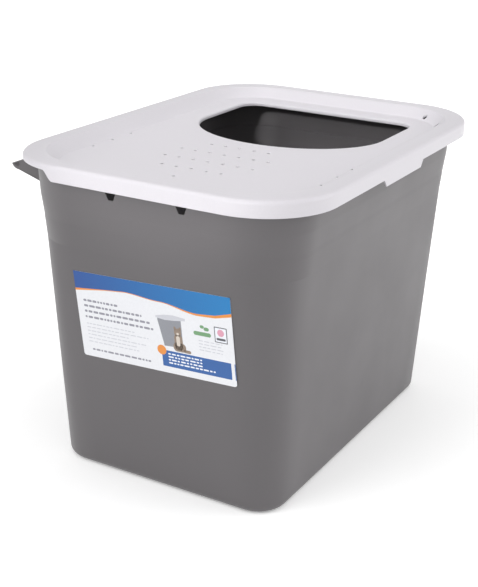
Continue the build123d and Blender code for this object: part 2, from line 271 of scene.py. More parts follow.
def freeze(piece):
    """Turn a piece's modifiers into its plain mesh."""
    bpy.context.view_layer.update()
    depsgraph = bpy.context.evaluated_depsgraph_get()
    mesh = bpy.data.meshes.new_from_object(
        piece.evaluated_get(depsgraph), preserve_all_data_layers=True, depsgraph=depsgraph
    )
    if not mesh.polygons:
        raise RuntimeError(f"{piece.name} came out empty")
    piece.modifiers.clear()
    piece.data = mesh


def soften(piece, angle=35.0):
    """Smooth shading that keeps flat faces flat and corners over the angle sharp."""
    for polygon in piece.data.polygons:
        polygon.use_smooth = True
    piece.data.set_sharp_from_angle(angle=math.radians(angle))
    weighted = piece.modifiers.new("flat faces", "WEIGHTED_NORMAL")
    weighted.keep_sharp = True
    weighted.weight = 100
    freeze(piece)


def hand_over(piece, body, slot, *nodes):
    """Put a finished piece on its body, in place of the frame's own nodes."""
    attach(piece, body)
    if nodes:
        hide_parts(*nodes)


def refined_copy(node, name, bevel):
    """A frame node's shape with its flat faces rejoined and its edges rounded."""
    piece = bpy.data.objects.new(name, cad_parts[node].data.copy())
    bpy.context.scene.collection.objects.link(piece)
    piece.data.materials.clear()
    if piece.data.has_custom_normals:
        with bpy.context.temp_override(object=piece, active_object=piece, selected_objects=[piece]):
            bpy.ops.mesh.customdata_custom_splitnormals_clear()
    weld = piece.modifiers.new("weld", "WELD")
    weld.merge_threshold = 0.002 * MM
    flat = piece.modifiers.new("flat", "DECIMATE")
    flat.decimate_type = "DISSOLVE"
    flat.angle_limit = math.radians(1.0)
    edge = piece.modifiers.new("edge", "BEVEL")
    edge.width = bevel
    edge.segments = 3
    edge.limit_method = "ANGLE"
    edge.angle_limit = math.radians(40)
    freeze(piece)
    soften(piece, 50.0)
    return piece


# ---- materials ------------------------------------------------------------------------

def add_node(tree, kind, inputs=(), **settings):
    """Add a node, set its properties, and fill or link its inputs by name or number."""
    node = tree.nodes.new(kind)
    for name, value in settings.items():
        setattr(node, name, value)
    for key, value in dict(inputs).items():
        if isinstance(value, bpy.types.NodeSocket):
            tree.links.new(value, node.inputs[key])
        else:
            node.inputs[key].default_value = value
    return node


def new_material(name):
    material = bpy.data.materials.new(name)
    material.use_nodes = True
    material.node_tree.nodes.clear()
    return material, material.node_tree


def moulded_polypropylene(name, base, rough, grain_mm, cloud_mm, cloud):
    """Injection-moulded polypropylene from a spark-eroded tool.

    The tool's fine grain breaks up the gloss, so lights show as soft pools. Slow clouds in
    colour and gloss are the melt's flow. The grain also tints the colour as painted light: its
    raised spots a touch lighter as a painted highlight, its pits as much darker as painted shade.
    """
    material, tree = new_material(name)
    place = add_node(tree, "ShaderNodeTexCoord").outputs["Object"]
    clouds = add_node(
        tree, "ShaderNodeTexNoise",
        {"Vector": place, "Scale": 1 / (cloud_mm * MM), "Detail": 3.0, "Roughness": 0.5},
    ).outputs["Fac"]
    grain = add_node(
        tree, "ShaderNodeTexNoise",
        {"Vector": place, "Scale": 1 / (grain_mm * MM), "Detail": 2.0, "Roughness": 0.6},
    ).outputs["Fac"]
    tint = add_node(
        tree, "ShaderNodeMapRange",
        {"Value": clouds, "From Min": 0.3, "From Max": 0.7, "To Min": 1 - cloud, "To Max": 1 + cloud},
    ).outputs["Result"]
    # painted light: the grain's raised spots are coloured up to 1.5 % lighter as a painted highlight and
    # its pits as much darker as painted shade
    painted_grain_shading = add_node(
        tree, "ShaderNodeMapRange",
        {"Value": grain, "From Min": 0.3, "From Max": 0.7, "To Min": 0.985, "To Max": 1.015},
    ).outputs["Result"]
    shade = add_node(tree, "ShaderNodeMath", {0: tint, 1: painted_grain_shading}, operation="MULTIPLY").outputs["Value"]
    body = add_node(
        tree, "ShaderNodeVectorMath", {0: (*base[:3],), "Scale": shade}, operation="SCALE"
    ).outputs["Vector"]
    gloss = add_node(
        tree, "ShaderNodeMapRange",
        {"Value": clouds, "From Min": 0.3, "From Max": 0.7, "To Min": rough - 0.05, "To Max": rough + 0.05},
    ).outputs["Result"]
    relief = add_node(
        tree, "ShaderNodeBump", {"Height": grain, "Strength": 0.12, "Distance": 0.05 * MM}
    ).outputs["Normal"]
    shader = add_node(
        tree, "ShaderNodeBsdfPrincipled",
        {"Base Color": body, "Roughness": gloss, "IOR": 1.49, "Normal": relief},
    )
    add_node(tree, "ShaderNodeOutputMaterial", {"Surface": shader.outputs["BSDF"]})
    return material


def printed_film(name, left, right=None, rough=0.32):
    """Ink on a polypropylene label film, which is smoother and glossier than the tub.

    A blend from left to right follows the label, as in offset print, and a faint mottle is
    the unevenness of the ink.
    """
    material, tree = new_material(name)
    place = add_node(tree, "ShaderNodeTexCoord").outputs["Object"]
    across = add_node(tree, "ShaderNodeSeparateXYZ", {"Vector": place}).outputs["X"]
    share = add_node(
        tree, "ShaderNodeMapRange",
        {"Value": across, "From Min": LABEL_LOW.x, "From Max": LABEL_HIGH.x},
    ).outputs["Result"]
    ink = add_node(
        tree, "ShaderNodeMix",
        {0: share, 6: (*left[:3], 1.0), 7: (*(right or left)[:3], 1.0)}, data_type="RGBA",
    ).outputs[2]
    mottle = add_node(
        tree, "ShaderNodeTexNoise", {"Vector": place, "Scale": 1 / (2.5 * MM), "Detail": 2.0}
    ).outputs["Fac"]
    tone = add_node(
        tree, "ShaderNodeMapRange",
        {"Value": mottle, "From Min": 0.3, "From Max": 0.7, "To Min": 0.98, "To Max": 1.02},
    ).outputs["Result"]
    body = add_node(
        tree, "ShaderNodeVectorMath", {0: ink, "Scale": tone}, operation="SCALE"
    ).outputs["Vector"]
    gloss = add_node(
        tree, "ShaderNodeMapRange",
        {"Value": mottle, "From Min": 0.3, "From Max": 0.7, "To Min": rough - 0.04, "To Max": rough + 0.04},
    ).outputs["Result"]
    shader = add_node(
        tree, "ShaderNodeBsdfPrincipled", {"Base Color": body, "Roughness": gloss, "IOR": 1.5}
    )
    add_node(tree, "ShaderNodeOutputMaterial", {"Surface": shader.outputs["BSDF"]})
    return material


def material_for(kind):
    """The pan's own materials, made once each."""
    colours = bpy.context.scene.litter_pan_colours
    name = {"tub": "grey_moulded_polypropylene", "lid": "pearl_white_moulded_polypropylene"}[kind]
    if name in bpy.data.materials:
        return bpy.data.materials[name]
    if kind == "tub":
        return moulded_polypropylene(name, colours.tub, 0.42, 1.6, 90.0, 0.02)
    return moulded_polypropylene(name, colours.lid, 0.4, 1.4, 120.0, 0.008)


# ---- tub ------------------------------------------------------------------------------

def tub_section(sizes, height):
    """Half width, half depth and corner radius of the tub's outside, without its ledges."""
    brow = LID_LOW.z
    run = (height - sizes.foot_round) / (brow - sizes.foot_round)
    steps = sizes.ledge_low_out + sizes.ledge_high_out
    half_x = sizes.foot_width / 2 + run * ((sizes.brow_width - sizes.foot_width) / 2 - steps)
    half_y = sizes.foot_depth / 2 + run * ((sizes.brow_depth - sizes.foot_depth) / 2 - steps)
    corner = sizes.foot_corner + run * (sizes.brow_corner - sizes.foot_corner)
    return half_x, half_y, corner


def tub_ring(sizes, angles, out, height):
    half_x, half_y, corner = tub_section(sizes, height)
    round_off = max(corner + out, 4 * MM)
    x, y = outline(lambda px, py: inside_rounded(px, py, half_x + out, half_y + out, round_off), angles)
    return np.column_stack([x, y, np.full_like(x, height)])


def tub_path(sizes):
    """Section of the tub as (step out, height, radius), from the underside over the rim and back."""
    top = TUB_HIGH.z
    low, high = sizes.ledge_low, sizes.ledge_high
    step_1 = sizes.ledge_low_out
    step_2 = step_1 + sizes.ledge_high_out
    bead_foot = top - sizes.bead_height
    wall = sizes.wall
    far_in = -110 * MM
    soft, rim = 0.5 * MM, 1.2 * MM
    ease, lip = sizes.ledge_ease, 0.8 * MM
    return rounded_path([
        (far_in, 0, 0),
        (0, 0, sizes.foot_round),
        (0, low - ease, 4 * ease),
        (step_1, low + ease, 4 * ease),
        (step_1, high - ease, 4 * ease),
        (step_2, high + ease, 4 * ease),
        (step_2, bead_foot, soft),
        (step_2 + sizes.bead_out, bead_foot, rim),
        (step_2 + sizes.bead_out, top, rim),
        (step_2 - wall, top, rim),
        (step_2 - wall, high + lip, lip),
        (step_1 - wall, high - lip, lip),
        (step_1 - wall, low + ease, 4 * ease),
        (-wall, low - ease, 4 * ease),
        (-wall, sizes.floor, sizes.foot_round - wall),
        (far_in, sizes.floor, 0),
    ])


def slot_cutter(sizes, centre_x):
    """Tapered prism through the label end's wall, with rounded corners."""
    rise = sizes.slot_top - sizes.slot_foot
    half_foot = sizes.slot_foot_width / 2
    half_top = half_foot + sizes.slot_flare / 2 * rise
    middle = (0.0, sizes.slot_foot + rise / 2)
    corners = [
        (-half_foot, sizes.slot_foot), (half_foot, sizes.slot_foot),
        (half_top, sizes.slot_top), (-half_top, sizes.slot_top),
    ]
    start = (middle[0], sizes.slot_foot, 0)
    path = rounded_path([start, *[(x, z, 1.6 * MM) for x, z in corners[1:] + corners[:1]], start])[:-1]
    rings = []
    for y in (-sizes.brow_depth / 2 - 20 * MM, -sizes.brow_depth / 2 + 20 * MM):
        rings.append(np.array([(centre_x + p.x, y, p.y) for p in path]))
    return shell("slot_cutter", rings[::-1], ends="fan")


class LITTERPAN_OT_tub(bpy.types.Operator):
    """Moulds the tapered grey tub with its ledges, rim bead and vent slots"""

    bl_idname = "litterpan.tub"
    bl_label = "Tub"

    def execute(self, context):
        sizes = context.scene.litter_pan_tub
        angles = np.linspace(0, 2 * math.pi, OUTLINE_POINTS, endpoint=False)
        rings = [tub_ring(sizes, angles, p.x, p.y) for p in tub_path(sizes)]
        tub = shell("tub_shell", rings, ends="fan")
        for centre_x in (sizes.slot_left, sizes.slot_right):
            cutter = slot_cutter(sizes, centre_x)
            cut = tub.modifiers.new("slot", "BOOLEAN")
            cut.operation = "DIFFERENCE"
            cut.solver = "EXACT"
            cut.object = cutter
            freeze(tub)
            bpy.data.objects.remove(cutter)
        soften(tub)
        tub.data.materials.clear()
        tub.data.materials.append(material_for("tub"))
        hand_over(tub, "tub", "tub_grey", "tub")
        return {"FINISHED"}


# ---- hinge ----------------------------------------------------------------------------

class LITTERPAN_OT_hinge(bpy.types.Operator):
    """Finishes the tub's hinge rail and the lid's two knuckles with rounded edges"""

    bl_idname = "litterpan.hinge"
    bl_label = "Hinge"

    def execute(self, context):
        rail = refined_copy("hinge_rail", "rail", 0.6 * MM)
        rail.data.materials.append(material_for("tub"))
        hand_over(rail, "tub", "tub_grey", "hinge_rail")
        for end in ("front", "rear"):
            node = f"hinge_knuckle_{end}"
            knuckle = refined_copy(node, f"knuckle_{end}", 0.5 * MM)
            knuckle.data.materials.append(material_for("lid"))
            hand_over(knuckle, "lid", "lid_white", node)
        return {"FINISHED"}


# ---- lid ------------------------------------------------------------------------------

def entry_centre_y(sizes):
    """Centre of the half-ellipse nose of the way in."""
    return COLLAR_LOW.y + sizes.wall + sizes.entry_nose


def inside_entry(sizes, grow, x, y):
    """True inside the D-shaped way in, grown sideways by grow."""
    half = (COLLAR_HIGH.x - COLLAR_LOW.x) / 2 - sizes.wall + grow
    back = COLLAR_HIGH.y - sizes.wall + grow
    centre = entry_centre_y(sizes)
    nose = (x / half) ** 2 + ((y - centre) / (sizes.entry_nose + grow)) ** 2 <= 1
    corner = max(sizes.entry_back_corner + grow, MM)
    depth = back - centre + corner
    box = inside_rounded(x, y - (back - depth / 2), half, depth / 2, corner)
    return np.where(y < centre, nose, box)


def lid_corner(sizes, inset):
    edge = sizes.edge_round
    foot = sizes.border + sizes.slope
    known = [sizes.corner, sizes.corner - edge, sizes.tray_corner, sizes.floor_corner]
    return float(np.interp(inset, [0, edge, sizes.border, foot], known))


def tab_drop(sizes, x, y):
    """How much deeper the skirt is at the pull tab."""
    half_top = (TAB_HIGH.y - TAB_LOW.y) / 2
    half_foot = sizes.tab_foot / 2
    share = np.clip((half_top - np.abs(y)) / (half_top - half_foot), 0, 1)
    return np.where(x > 0, share, 0) * (TAB_HIGH.z - TAB_LOW.z)


def hinge_rise(sizes, x):
    """How much shallower the skirt is towards the hinge side."""
    share = np.clip((sizes.skirt_step - x) / sizes.skirt_step_run, 0, 1)
    return share ** 2 * (3 - 2 * share) * (sizes.hinge_skirt - LID_LOW.z)


def lid_ring(sizes, angles, inset, height, skirt_foot):
    half_x, half_y = LID_HIGH.x - inset, LID_HIGH.y - inset
    corner = lid_corner(sizes, inset)
    x, y = outline(
        lambda px, py: inside_rounded(px, py, half_x, half_y, corner), angles, entry_centre_y(sizes)
    )
    z = np.full_like(x, height)
    if height < skirt_foot:
        z = z - tab_drop(sizes, x, y) + hinge_rise(sizes, x)
    return np.column_stack([x, y, z])


def entry_ring(sizes, angles, grow, height):
    x, y = outline(lambda px, py: inside_entry(sizes, grow, px, py), angles, entry_centre_y(sizes))
    return np.column_stack([x, y, np.full_like(x, height)])


def lid_angles(sizes):
    """Even rays, with more of them at the ends of the pull tab and at the skirt's steps."""
    even = np.linspace(0, 2 * math.pi, OUTLINE_POINTS, endpoint=False) + math.pi / OUTLINE_POINTS
    half_top = (TAB_HIGH.y - TAB_LOW.y) / 2
    points = []
    for y in (half_top, sizes.tab_foot / 2):
        for nudge in (-0.6 * MM, 0.0, 0.6 * MM):
            points += [(LID_HIGH.x, y + nudge), (LID_HIGH.x, -y + nudge)]
    for share in np.linspace(-0.1, 1.1, 13):
        x = sizes.skirt_step - share * sizes.skirt_step_run
        points += [(x, LID_HIGH.y), (x, LID_LOW.y)]
    extra = np.array([math.atan2(y - entry_centre_y(sizes), x) for x, y in points]) % (2 * math.pi)
    spacing = math.radians(0.05)
    kept = [a for a in even if np.min(np.abs(extra - a)) > spacing]
    return np.sort(np.concatenate([kept, extra]))


def lid_paths(sizes):
    """Sections of the lid: down the top to the sunken floor, round the collar, and back below."""
    top, foot = LID_HIGH.z, LID_LOW.z
    wall = sizes.wall
    slope_foot = sizes.border + sizes.slope
    under = sizes.sunken - wall
    drop = top - sizes.sunken
    meet = sizes.border - sizes.slope_wall + sizes.slope * (wall / 2) / (drop + wall / 2)
    settle = 8 * MM
    over = rounded_path([
        (wall / 2, foot, 0),
        (0, foot, 0.7 * MM),
        (0, top, sizes.edge_round),
        (sizes.border, top, 4 * MM),
        (slope_foot, sizes.sunken, 5 * MM),
        (slope_foot + settle, sizes.sunken, 0),
    ])
    collar = rounded_path([
        (settle, sizes.sunken, 0),
        (0, sizes.sunken, sizes.entry_lip),
        (0, COLLAR_LOW.z, 0.9 * MM),
        (wall, COLLAR_LOW.z, 0.9 * MM),
        (wall, under, 1.0 * MM),
        (settle, under, 0),
    ])
    below = rounded_path([
        (slope_foot - sizes.slope_wall + settle, under, 0),
        (slope_foot - sizes.slope_wall, under, 3 * MM),
        (meet, top - wall, 2 * MM),
        (wall, top - wall, sizes.edge_round - wall),
        (wall, foot, 0.7 * MM),
        (wall / 2, foot, 0),
    ])
    return over, collar, below[:-1]


def perforation_tree():
    """Geometry nodes that bore the perforations and the drain holes through a lid."""
    tree = bpy.data.node_groups.new("lid_perforations", "GeometryNodeTree")
    face = tree.interface
    face.new_socket("Lid", in_out="INPUT", socket_type="NodeSocketGeometry")
    sockets = [
        ("Hole radius", "Float"), ("Drain radius", "Float"), ("Corner radius", "Float"),
        ("Bore depth", "Float"), ("Level", "Float"),
        ("Pitch X", "Float"), ("Pitch Y", "Float"), ("Columns", "Int"), ("Rows", "Int"),
        ("First row", "Float"),
        ("Oval Y", "Float"), ("Oval width", "Float"), ("Oval depth", "Float"),
        ("Drain X", "Float"), ("Drain Y", "Float"), ("Drain pitch", "Float"), ("Drains", "Int"),
        ("Corner centre", "Vector"), ("Corner reach", "Float"), ("Corner start", "Float"),
        ("Corner sweep", "Float"),
        ("Material", "Material"),
    ]
    for name, kind in sockets:
        face.new_socket(name, in_out="INPUT", socket_type=f"NodeSocket{kind}")
    face.new_socket("Lid", in_out="OUTPUT", socket_type="NodeSocketGeometry")
    given = add_node(tree, "NodeGroupInput").outputs

    def math_node(operation, first, second):
        return add_node(tree, "ShaderNodeMath", {0: first, 1: second}, operation=operation).outputs[0]

    def bore(radius):
        """A drill centred on its point, with the moulding's draft, wider at the top."""
        wide = math_node("MULTIPLY", radius, 1.2)
        narrow = math_node("MULTIPLY", radius, 0.8)
        cone = add_node(
            tree, "GeometryNodeMeshCone",
            {"Vertices": 20, "Radius Top": wide, "Radius Bottom": narrow, "Depth": given["Bore depth"]},
        ).outputs["Mesh"]
        half_down = math_node("MULTIPLY", given["Bore depth"], -0.5)
        down = add_node(tree, "ShaderNodeCombineXYZ", {"Z": half_down}).outputs["Vector"]
        return add_node(
            tree, "GeometryNodeTransform", {"Geometry": cone, "Translation": down}
        ).outputs["Geometry"]

    def field(across, along, columns, rows, middle_y):
        """A flat grid of points at the bores' level, centred on the lid's middle line."""
        width = math_node("MULTIPLY", across, math_node("SUBTRACT", columns, 1))
        depth = math_node("MULTIPLY", along, math_node("SUBTRACT", rows, 1))
        grid = add_node(
            tree, "GeometryNodeMeshGrid",
            {"Size X": width, "Size Y": depth, "Vertices X": columns, "Vertices Y": rows},
        ).outputs["Mesh"]
        place = add_node(tree, "ShaderNodeCombineXYZ", {"Y": middle_y, "Z": given["Level"]})
        return add_node(
            tree, "GeometryNodeTransform", {"Geometry": grid, "Translation": place.outputs["Vector"]}
        ).outputs["Geometry"]

    def on_points(points, radius):
        return add_node(
            tree, "GeometryNodeInstanceOnPoints", {"Points": points, "Instance": bore(radius)}
        )

    half_depth = math_node("MULTIPLY", math_node("SUBTRACT", given["Rows"], 1), 0.5)
    back_off = math_node("MULTIPLY", half_depth, given["Pitch Y"])
    middle_y = math_node("SUBTRACT", given["First row"], back_off)
    lattice = field(given["Pitch X"], given["Pitch Y"], given["Columns"], given["Rows"], middle_y)
    holes = on_points(lattice, given["Hole radius"])
    position = add_node(tree, "GeometryNodeInputPosition").outputs[0]
    point = add_node(tree, "ShaderNodeSeparateXYZ", {"Vector": position})
    from_centre = math_node("SUBTRACT", point.outputs["Y"], given["Oval Y"])
    across = math_node("DIVIDE", point.outputs["X"], given["Oval width"])
    along = math_node("DIVIDE", from_centre, given["Oval depth"])
    across_square = math_node("MULTIPLY", across, across)
    along_square = math_node("MULTIPLY", along, along)
    spread = math_node("ADD", across_square, along_square)
    inside = add_node(
        tree, "FunctionNodeCompare", {0: spread, 1: 1.0}, data_type="FLOAT", operation="LESS_EQUAL"
    )
    tree.links.new(inside.outputs["Result"], holes.inputs["Selection"])

    drain_gap = math_node("MULTIPLY", given["Drain X"], 2)
    drain_points = field(drain_gap, given["Drain pitch"], 2, given["Drains"], given["Drain Y"])
    drains = on_points(drain_points, given["Drain radius"])

    arc = add_node(
        tree, "GeometryNodeCurveArc",
        {
            "Resolution": 2, "Radius": given["Corner reach"],
            "Start Angle": given["Corner start"], "Sweep Angle": given["Corner sweep"],
        },
        mode="RADIUS",
    ).outputs["Curve"]
    ends = add_node(
        tree, "GeometryNodeCurveToPoints", {"Curve": arc}, mode="EVALUATED"
    ).outputs["Points"]
    placed_ends = add_node(
        tree, "GeometryNodeTransform", {"Geometry": ends, "Translation": given["Corner centre"]}
    ).outputs["Geometry"]
    corners = on_points(placed_ends, given["Corner radius"])

    join = add_node(tree, "GeometryNodeJoinGeometry")
    for drilled in (holes, drains, corners):
        tree.links.new(drilled.outputs["Instances"], join.inputs[0])
    drills = add_node(
        tree, "GeometryNodeRealizeInstances", {"Geometry": join.outputs["Geometry"]}
    ).outputs["Geometry"]
    cut = add_node(tree, "GeometryNodeMeshBoolean", operation="DIFFERENCE", solver="EXACT")
    tree.links.new(given["Lid"], cut.inputs["Mesh 1"])
    tree.links.new(drills, cut.inputs["Mesh 2"])
    real = add_node(
        tree, "GeometryNodeRealizeInstances", {"Geometry": cut.outputs["Mesh"]}
    ).outputs["Geometry"]
    painted = add_node(
        tree, "GeometryNodeSetMaterial", {"Geometry": real, "Material": given["Material"]}
    ).outputs["Geometry"]
    add_node(tree, "NodeGroupOutput", {0: painted})
    return tree


def perforate(lid, sizes):
    """Run the perforation tree on the lid and keep the result as its mesh."""
    tree = perforation_tree()
    inset = sizes.border + sizes.slope + sizes.floor_corner
    corner_centre = (LID_HIGH.x - inset, LID_HIGH.y - inset, sizes.sunken)
    values = {
        "Hole radius": sizes.hole_radius, "Drain radius": sizes.drain_radius,
        "Corner radius": sizes.corner_radius, "Bore depth": 8 * sizes.wall, "Level": sizes.sunken,
        "Pitch X": sizes.pitch_x, "Pitch Y": sizes.pitch_y, "Columns": sizes.columns, "Rows": sizes.rows,
        "First row": sizes.first_row, "Oval Y": sizes.oval_y, "Oval width": sizes.oval_width,
        "Oval depth": sizes.oval_depth, "Drain X": sizes.drain_x, "Drain Y": sizes.drain_y,
        "Drain pitch": sizes.drain_pitch, "Drains": sizes.drains, "Corner centre": corner_centre,
        "Corner reach": sizes.corner_reach, "Corner start": sizes.corner_start,
        "Corner sweep": sizes.corner_sweep, "Material": material_for("lid"),
    }
    nodes = lid.modifiers.new("perforations", "NODES")
    nodes.node_group = tree
    for item in tree.interface.items_tree:
        if item.in_out == "INPUT" and item.name in values:
            nodes[item.identifier] = values[item.name]
    freeze(lid)


class LITTERPAN_OT_lid(bpy.types.Operator):
    """Moulds the white lid with its skirt, sunken floor, collar, pull tab and holes"""

    bl_idname = "litterpan.lid"
    bl_label = "Lid"

    def execute(self, context):
        sizes = context.scene.litter_pan_lid
        angles = lid_angles(sizes)
        over, collar, below = lid_paths(sizes)
        skirt_foot = LID_LOW.z + 1.5 * MM
        rings = [lid_ring(sizes, angles, p.x, p.y, skirt_foot) for p in over]
        rings += [entry_ring(sizes, angles, p.x, p.y) for p in collar]
        rings += [lid_ring(sizes, angles, p.x, p.y, skirt_foot) for p in below]
        lid = shell("lid_moulding", rings, ends="loop")
        perforate(lid, sizes)
        soften(lid)
        covered = ("lid_skirt", "lid_border", "lid_floor", "entry_collar", "pull_tab")
        hand_over(lid, "lid", "lid_white", *covered)
        return {"FINISHED"}


# ---- label ----------------------------------------------------------------------------

def wall_point(tub, label, across, up, lift):
    """A point of the label, across and up from its centre, lifted off the tub's label end."""
    turn = label.turn
    x = label.centre_x + across * math.cos(turn) - up * math.sin(turn)
    z = label.centre_z + across * math.sin(turn) + up * math.cos(turn)
    half_x, half_y, corner = tub_section(tub, z)
    beyond = max(abs(x) - (half_x - corner), 0.0)
    y = -(half_y - corner + math.sqrt(corner ** 2 - beyond ** 2))
    return x, y - lift, z


def strip(tub, label, lines, thickness, lift):
    """Closed thin film between a lower and an upper line, given as (across, low, high) columns."""
    vertices, faces = [], []
    for across, low, high in lines:
        for off in (lift + thickness, lift):
            vertices.append(wall_point(tub, label, across, low, off))
            vertices.append(wall_point(tub, label, across, high, off))
    for i in range(len(lines) - 1):
        a, b = 4 * i, 4 * i + 4
        faces += [
            (a, b, b + 1, a + 1), (a + 2, a + 3, b + 3, b + 2),
            (a, a + 2, b + 2, b), (a + 1, b + 1, b + 3, a + 3),
        ]
    last = 4 * (len(lines) - 1)
    faces += [(0, 1, 3, 2), (last, last + 2, last + 3, last + 1)]
    return vertices, faces


def rounded_columns(left, right, low, high, corner, steps=6):
    """Columns of a rounded rectangle."""
    corner = min(corner, (right - left) / 2, (high - low) / 2)
    offsets = [corner * (1 - math.cos(math.pi / 2 * i / steps)) for i in range(steps + 1)]
    columns = []
    for off in offsets:
        rise = math.sqrt(max(corner ** 2 - (corner - off) ** 2, 0.0))
        columns.append((off, corner - rise))
    span = right - left - 2 * corner
    middle = [(left + corner + span * i / 12, low, high) for i in range(1, 12)] if span > 0 else []
    if span < 0.1 * corner:
        columns = columns[:-1]
        middle = [(left + corner, low, high)]
    start = [(left + off, low + cut, high - cut) for off, cut in columns]
    end = [(right - off, low + cut, high - cut) for off, cut in reversed(columns)]
    nip = 0.02 * MM
    return [(x, lo - nip, hi + nip) for x, lo, hi in start + middle + end]


class LITTERPAN_OT_label(bpy.types.Operator):
    """Sticks the printed film on the label end, with a plain generic layout"""

    bl_idname = "litterpan.label"
    bl_label = "Label"

    def execute(self, context):
        scene = context.scene
        tub, label, colours = scene.litter_pan_tub, scene.litter_pan_label, scene.litter_pan_colours
        half_w, half_h = label.width / 2, label.height / 2
        sheet = rounded_columns(-half_w, half_w, -half_h, half_h, label.corner)
        film = mesh_piece("label_film", *strip(tub, label, sheet, label.film, 0.01 * MM))
        film.data.materials.append(printed_film("white_label_film", colours.film))
        soften(film, 30.0)
        hand_over(film, "tub", "label_film", "front_label")
        inks = print_layout(label)
        materials = {
            "band": printed_film("blue_band_ink", colours.band_left, colours.band_right),
            "panel": printed_film("blue_panel_ink", colours.panel),
            "orange": printed_film("orange_ink", colours.orange),
            "grey": printed_film("grey_print_ink", colours.print_grey),
            "pale": printed_film("pale_grey_print_ink", linear("#c6c7ce")),
            "white": printed_film("reversed_out_white", linear("#e6e9f0")),
            "dark": printed_film("dark_picture_ink", linear("#55555c")),
            "mid": printed_film("grey_picture_ink", linear("#8b8d94")),
            "tan": printed_film("tan_picture_ink", linear("#8d7c6e")),
            "cream": printed_film("cream_picture_ink", linear("#cfc4b8")),
            "green": printed_film("green_ink", linear("#6f9a70")),
            "pink": printed_film("pink_ink", linear("#d79aae")),
        }
        for ink, layer, shapes in inks:
            vertices, faces = [], []
            lift = 0.01 * MM + label.film + layer * label.ink
            for columns in shapes:
                more, quads = strip(tub, label, columns, label.ink, lift)
                faces += [tuple(len(vertices) + i for i in quad) for quad in quads]
                vertices += more
            print_piece = mesh_piece(f"label_print_{ink}_{layer}", vertices, faces)
            print_piece.data.materials.append(materials[ink])
            hand_over(print_piece, "tub", "label_film")
        return {"FINISHED"}


def print_layout(label):
    """The label's printed shapes as (ink, layer, list of columns)."""
    half_w, half_h = label.width / 2, label.height / 2

    def place(columns):
        return [(x * MM - half_w, half_h - low * MM, half_h - high * MM) for x, low, high in columns]

    def box(left, top, wide, tall, corner=0.4):
        right, bottom = left + wide, top + tall
        columns = rounded_columns(left * MM, right * MM, top * MM, bottom * MM, corner * MM)
        return [(x - half_w, half_h - high, half_h - low) for x, low, high in columns]

    def wave(x):
        """Depth of the band's lower edge below the label's top edge."""
        known_x = [0, 30, 66, 110, 158, 180, 200]
        known_y = [20.6, 18.0, 15.2, 18.8, 25.2, 23.4, 18.0]
        i = min(max(int(np.searchsorted(known_x, x, side="right")) - 1, 0), len(known_x) - 2)
        t = (x - known_x[i]) / (known_x[i + 1] - known_x[i])
        smooth = (1 - math.cos(math.pi * t)) / 2 if i in (2, 3) else t
        return known_y[i] + (known_y[i + 1] - known_y[i]) * smooth

    def words(left, top, wide, tall, chance):
        """A line of small print as unreadable rounded dashes."""
        shapes, x = [], left
        while x < left + wide:
            dash = min(chance.uniform(2.4, 8.0), left + wide - x)
            if dash > 1.0:
                shapes.append(box(x, top, dash, tall, tall / 2.2))
            x += dash + chance.uniform(1.0, 1.5)
        return shapes

    across = [200 * i / 60 for i in range(61)]
    band = [place([(x, wave(x), 0) for x in across])]
    line_width = [2.6 - 1.8 * min(x / 40, 1) + 3.0 * max((x - 120) / 80, 0) for x in across]
    line = [place([(x, wave(x) + w, wave(x)) for x, w in zip(across, line_width)])]
    chance = random.Random(7)
    grey = []
    for top, wide in ((32.5, 46), (39.0, 77), (45.6, 87), (52.4, 91)):
        grey += words(9.0, top, wide, 2.6, chance)
    grey += words(13.0, 92.5, 80, 2.2, chance)
    pale = []
    for row in range(6):
        pale += words(9.5, 61.5 + 4.4 * row, chance.uniform(55, 84), 1.1, chance)
    for row in range(4):
        pale += words(157, 55.5 + 3.6 * row, chance.uniform(24, 31), 1.0, chance)
    white = []
    for top, wide in ((78.6, 43), (82.2, 43), (85.8, 45), (89.4, 59)):
        white += words(116, top, wide, 1.7, chance)
    panel = [box(108, 75.8, 92, 19.4, 0.2)]
    disc = [box(102.4, 70.4, 11.6, 11.6, 5.8)]
    tub_picture = [place([(106.5 + 0.5 * i, 40.5 + 2.45 * i, 38.0 - 0.12 * i) for i in range(12)]
                         + [(112.5 + 4.0 * i, 70.5 - 0.2 * i, 36.6 + 0.1 * i) for i in range(7)])]
    lid_picture = [place([(104.5, 38.2, 36.0), (116, 39.4, 33.4), (127, 38.6, 32.4), (142, 36.6, 33.8)])]
    cat = [
        box(126.5, 47.0, 9.0, 9.5, 4.0),
        box(126.5, 45.2, 2.6, 4.0, 1.0),
        box(132.9, 45.2, 2.6, 4.0, 1.0),
        box(126.0, 54.0, 10.5, 19.0, 4.5),
        box(124.0, 64.0, 16.0, 10.5, 4.5),
        box(137.0, 71.0, 9.0, 3.6, 1.7),
    ]
    chest = [box(128.6, 56.0, 4.6, 12.0, 2.2), box(129.4, 52.0, 3.2, 3.0, 1.2)]
    leaves = [
        box(160.0, 37.5, 5.0, 3.6, 1.8),
        box(164.6, 39.2, 6.4, 4.2, 2.1),
        box(151.5, 45.4, 21.5, 4.6, 2.2),
    ]
    badge = [box(177.5, 36.0, 15.5, 18.0, 0.6)]
    badge_inside = [box(178.5, 37.0, 13.5, 16.0, 0.4)]
    badge_disc = [box(181.2, 38.4, 8.2, 8.2, 4.1)]
    badge_bar = [box(179.8, 48.6, 11.0, 2.6, 0.8)]
    return [
        ("band", 0, band), ("orange", 0, line), ("panel", 0, panel), ("grey", 0, grey),
        ("pale", 0, pale),
        ("orange", 1, disc), ("white", 1, white), ("mid", 0, tub_picture), ("pale", 1, lid_picture),
        ("tan", 1, cat), ("cream", 2, chest), ("green", 0, leaves), ("dark", 0, badge),
        ("white", 1, badge_inside),
        ("pink", 2, badge_disc), ("dark", 2, badge_bar),
    ]


# ---- stage ----------------------------------------------------------------------------

